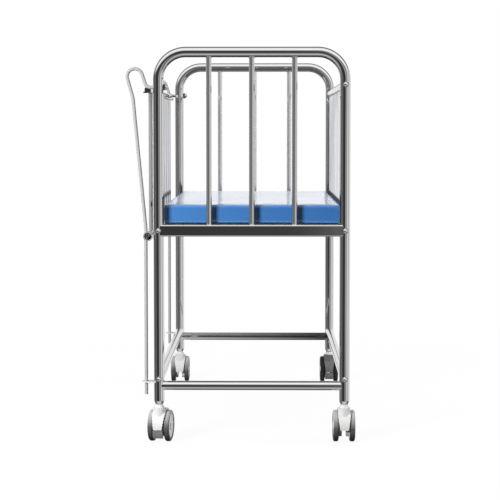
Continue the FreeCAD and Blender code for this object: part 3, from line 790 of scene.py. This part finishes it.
def seam_ring(name, up):
    places = []
    for spot, out in outline_points(SEAM_STEP):
        edge = Vector((pad_middle.x + spot.x, pad_middle.y + spot.y,
                       pad_high.z if up > 0 else pad_low.z))
        slant = (out + Vector((0, 0, up))).normalized()
        hit, normal, _, _ = surface.ray_cast(edge + slant * 0.01, -slant, 0.03)
        places.append(hit + normal * (SEAM_RADIUS * 0.2))
    deselect()
    bpy.ops.mesh.primitive_circle_add(vertices=len(places), radius=1)
    ring = bpy.context.object
    ring.name = name
    for corner, place in zip(ring.data.vertices, places):
        corner.co = place
    bpy.ops.object.convert(target="CURVE")
    ring.data.bevel_depth = SEAM_RADIUS
    ring.data.bevel_resolution = 2
    bpy.ops.object.convert(target="MESH")
    ring = bpy.context.object
    bpy.ops.object.mode_set(mode="EDIT")
    bpy.ops.mesh.select_all(action="SELECT")
    bpy.ops.mesh.normals_make_consistent(inside=False)
    bpy.ops.object.mode_set(mode="OBJECT")
    bpy.ops.object.shade_smooth()
    ring.data.materials.clear()
    ring.data.materials.append(seam_vinyl)
    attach(ring, "mattress")
    ring.visible_glossy = False
    return ring


seams = [seam_ring("mattress_seam_top", 1), seam_ring("mattress_seam_bottom", -1)]
print("seams:", [(ring.name, len(ring.data.polygons)) for ring in seams])

# %% [markdown]
# Every bar is welded to the tubes at its two ends. A weld leaves a narrow bead round the bar, in the
# corner between the two metals, and over a round tube that corner is a saddle and not a flat ring.
# One bead is made for each kind of joint: a torus, pressed flatter, rippled as the rod is fed in,
# and bent over the tube that it meets. It is then copied to every bar of that kind.

# %% Weld beads
BEAD_RADIUS = 0.0014
BEAD_STAND = 0.0004        # how far its middle stands off the bar
BEAD_FLAT = 0.8            # its height as a share of its width
BEAD_RIPPLE = 0.00022
BEAD_WAVES = 9             # ripples in one turn round the bar


def one_bead(bar_radius, tube_radius, tube_along, up):
    """A bead round an upright bar. up is 1 where the tube is above the bar's end, else -1."""
    deselect()
    bpy.ops.mesh.primitive_torus_add(major_segments=28, minor_segments=8, location=(0, 0, 0),
                                     major_radius=bar_radius + BEAD_STAND,
                                     minor_radius=BEAD_RADIUS)
    bead = bpy.context.object
    for corner in bead.data.vertices:
        p = corner.co
        turn_angle = math.atan2(p.y, p.x)
        ripple = 1 + BEAD_RIPPLE / bar_radius * math.sin(BEAD_WAVES * turn_angle)
        p.x, p.y, p.z = p.x * ripple, p.y * ripple, p.z * BEAD_FLAT
        if tube_radius:
            across = p.x if tube_along == "y" else p.y
            p.z += up * (tube_radius - math.sqrt(max(tube_radius ** 2 - across ** 2, 0)))
    return bead


def bead_row(name, bars, body, height, tube_radius, tube_along, up):
    """One bead at that height round every bar of a node of equal, evenly spaced bars."""
    low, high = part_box(bars)
    thin, long = ("x", "y") if high.x - low.x < high.y - low.y else ("y", "x")
    radius = (getattr(high, thin) - getattr(low, thin)) / 2
    first, last = getattr(low, long) + radius, getattr(high, long) - radius
    count = 3 if long == "x" else 9
    line = (getattr(high, thin) + getattr(low, thin)) / 2
    bead = one_bead(radius, tube_radius, tube_along, up)
    beads = []
    for k in range(count):
        if k:
            bpy.ops.object.duplicate()
        place = first + (last - first) * k / (count - 1)
        spot = (place, line) if long == "x" else (line, place)
        bpy.context.object.location = (*spot, height)
        beads.append(bpy.context.object)
    for piece in beads:
        piece.select_set(True)
    bpy.ops.object.join()
    row = bpy.context.object
    row.name = name
    at_origin(row)
    bpy.ops.object.shade_smooth()
    row.data.materials.append(weld_steel)
    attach(row, body)
    return row


def radius_and_middle(tube):
    """Radius and middle height of a level round rail."""
    low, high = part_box(tube)
    return (high.z - low.z) / 2, (high.z + low.z) / 2


weld_steel = metal("weld_steel", (0.74, 0.74, 0.73), 0.16, 0.3, 0.5, 160.0)
hoop_radius = (hoops[1].y - hoops[0].y) / 2
hoop_under = hoops[1].z - 2 * hoop_radius
deck_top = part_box("deck_end_rail_front")[1].z
side_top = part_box("deck_side_rail_right")[1].z
guard_radius, guard_middle = radius_and_middle("guard_top_rail")
gate_top_radius, gate_top_middle = radius_and_middle("gate_top_rail")
gate_low_radius, gate_low_middle = radius_and_middle("gate_bottom_rail")
rows = []
for end in ("front", "rear"):
    bars = "end_bars_" + end
    rows.append(bead_row("welds_end_top_" + end, bars, "frame", hoop_under, hoop_radius, "x", 1))
    rows.append(bead_row("welds_end_deck_" + end, bars, "frame", deck_top, 0, "x", -1))
rows.append(bead_row("welds_guard_top", "guard_bars", "frame", guard_middle - guard_radius,
                     guard_radius, "y", 1))
rows.append(bead_row("welds_guard_deck", "guard_bars", "frame", side_top, 0, "y", -1))
rows.append(bead_row("welds_gate_top", "gate_bars", "gate", gate_top_middle - gate_top_radius,
                     gate_top_radius, "y", 1))
rows.append(bead_row("welds_gate_low", "gate_bars", "gate", gate_low_middle + gate_low_radius,
                     gate_low_radius, "y", -1))
print("weld beads:", [(row.name, len(row.data.polygons)) for row in rows])
